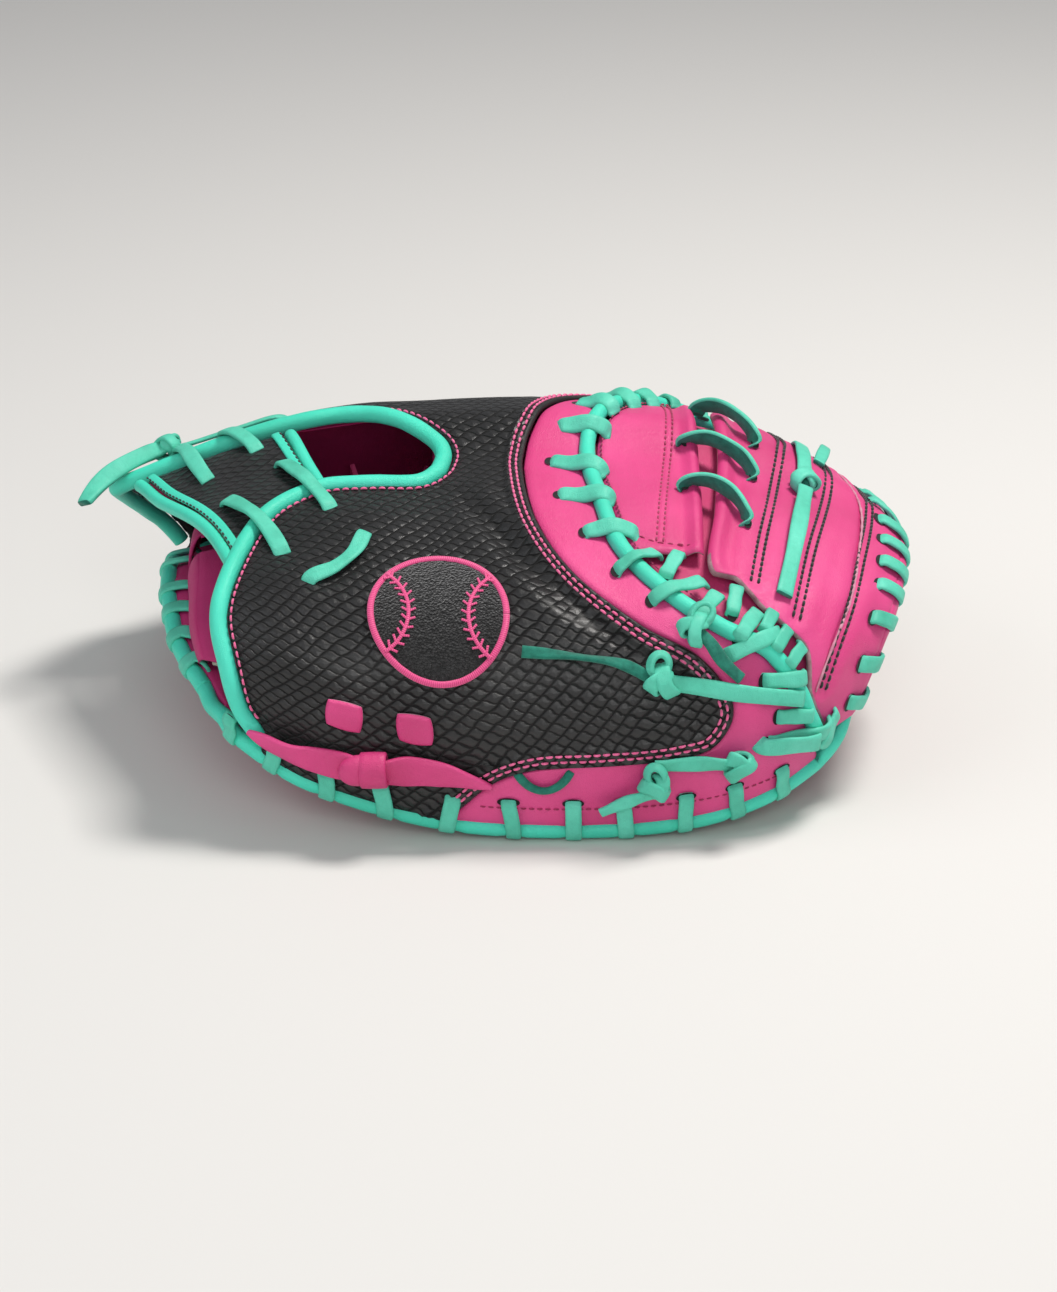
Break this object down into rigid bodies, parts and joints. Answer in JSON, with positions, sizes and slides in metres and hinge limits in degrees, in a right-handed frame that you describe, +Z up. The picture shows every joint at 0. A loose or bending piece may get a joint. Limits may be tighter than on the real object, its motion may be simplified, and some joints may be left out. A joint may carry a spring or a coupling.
{
  "type": "baseball catchers mitt",
  "caption": "Baseball catcher's mitt for the left hand: padded leather shell, laced web, wrist strap and whip-laced rim, lying palm down, hinged along the pocket.",
  "frame": {"origin": "middle of the footprint, on the ground the mitt lies on", "axes": "+X from the wrist to the top of the web, +Y from the thumb side to the little finger side, +Z up, away from the pocket, through the back of the hand"},
  "size_m": [0.3292, 0.2612, 0.1242],
  "materials": {
    "black_leather": "semi-gloss black leather embossed with a scale pattern",
    "pink_leather": "smooth hot pink leather, satin",
    "mint_binding": "smooth mint green leather binding",
    "mint_lace": "mint green rawhide lace, smooth side and suede side",
    "magenta_lining": "matt dark magenta lining leather",
    "padding": "undyed wool felt",
    "patch": "black embroidered patch with pink stitching"
  },
  "bodies": {
    "finger_side": {"finger_back_shell": "black_leather", "back_bridge": "black_leather", "wrist_strap": "black_leather", "finger_tip_panel": "pink_leather", "crotch_panel": "pink_leather", "finger_palm_leather": "pink_leather", "palm_crease_strip": "pink_leather", "web_base_panel": "pink_leather", "web_crown_panel": "pink_leather", "web_front_panel": "pink_leather", "little_finger_loop": "pink_leather", "finger_cuff_roll": "mint_binding", "window_tip_roll": "mint_binding", "strap_wrist_edge_roll": "mint_binding", "strap_window_edge_roll": "mint_binding", "finger_rim_lace": "mint_lace", "finger_heel_lace": "mint_lace", "web_rim_lace": "mint_lace", "web_opening_lace": "mint_lace", "web_bridge_lace_1": "mint_lace", "web_bridge_lace_2": "mint_lace", "web_bridge_lace_3": "mint_lace", "web_knot_lace": "mint_lace", "strap_far_lace": "mint_lace", "finger_back_lining": "magenta_lining", "finger_palm_lining": "magenta_lining", "finger_divider_1": "magenta_lining", "finger_divider_2": "magenta_lining", "finger_divider_3": "magenta_lining", "wrist_strap_lining": "magenta_lining", "finger_heel_pad": "padding", "finger_palm_pad": "padding", "finger_rim_pad": "padding"},
    "thumb_side": {"thumb_back_shell": "black_leather", "thumb_tip_panel": "pink_leather", "thumb_back_lining": "magenta_lining", "thumb_palm_leather": "pink_leather", "thumb_palm_lining": "magenta_lining", "thumb_heel_pad": "padding", "thumb_palm_pad": "padding", "thumb_rim_pad": "padding", "thumb_loop": "pink_leather", "thumb_cuff_roll": "mint_binding", "thumb_rim_lace": "mint_lace", "thumb_heel_lace": "mint_lace", "strap_lace_1": "mint_lace", "strap_lace_2": "mint_lace", "back_patch": "patch", "thumb_loop_anchor_1": "pink_leather", "thumb_loop_anchor_2": "pink_leather", "back_lace_strip": "mint_lace", "thumb_loop_knot": "pink_leather", "rim_lace_arc": "mint_lace", "thumb_web_lace": "mint_lace", "crotch_knot": "mint_lace", "rim_knot_1": "mint_lace", "rim_knot_2": "mint_lace", "rim_web_lace": "mint_lace"}
  },
  "joints": [
    {"name": "pocket_hinge", "type": "hinge", "parent": "finger_side", "child": "thumb_side", "pos_m": [0, -0.0053, 0.0682], "axis": [1, 0, 0], "range_deg": [-10, 22], "deforming": ["back_bridge", "crotch_panel", "palm_crease_strip", "window_tip_roll", "web_base_panel", "web_crown_panel", "web_front_panel", "web_rim_lace", "web_opening_lace", "web_bridge_lace_1", "web_bridge_lace_2", "web_bridge_lace_3", "web_knot_lace", "wrist_strap", "wrist_strap_lining", "strap_wrist_edge_roll", "strap_window_edge_roll"]}
  ]
}
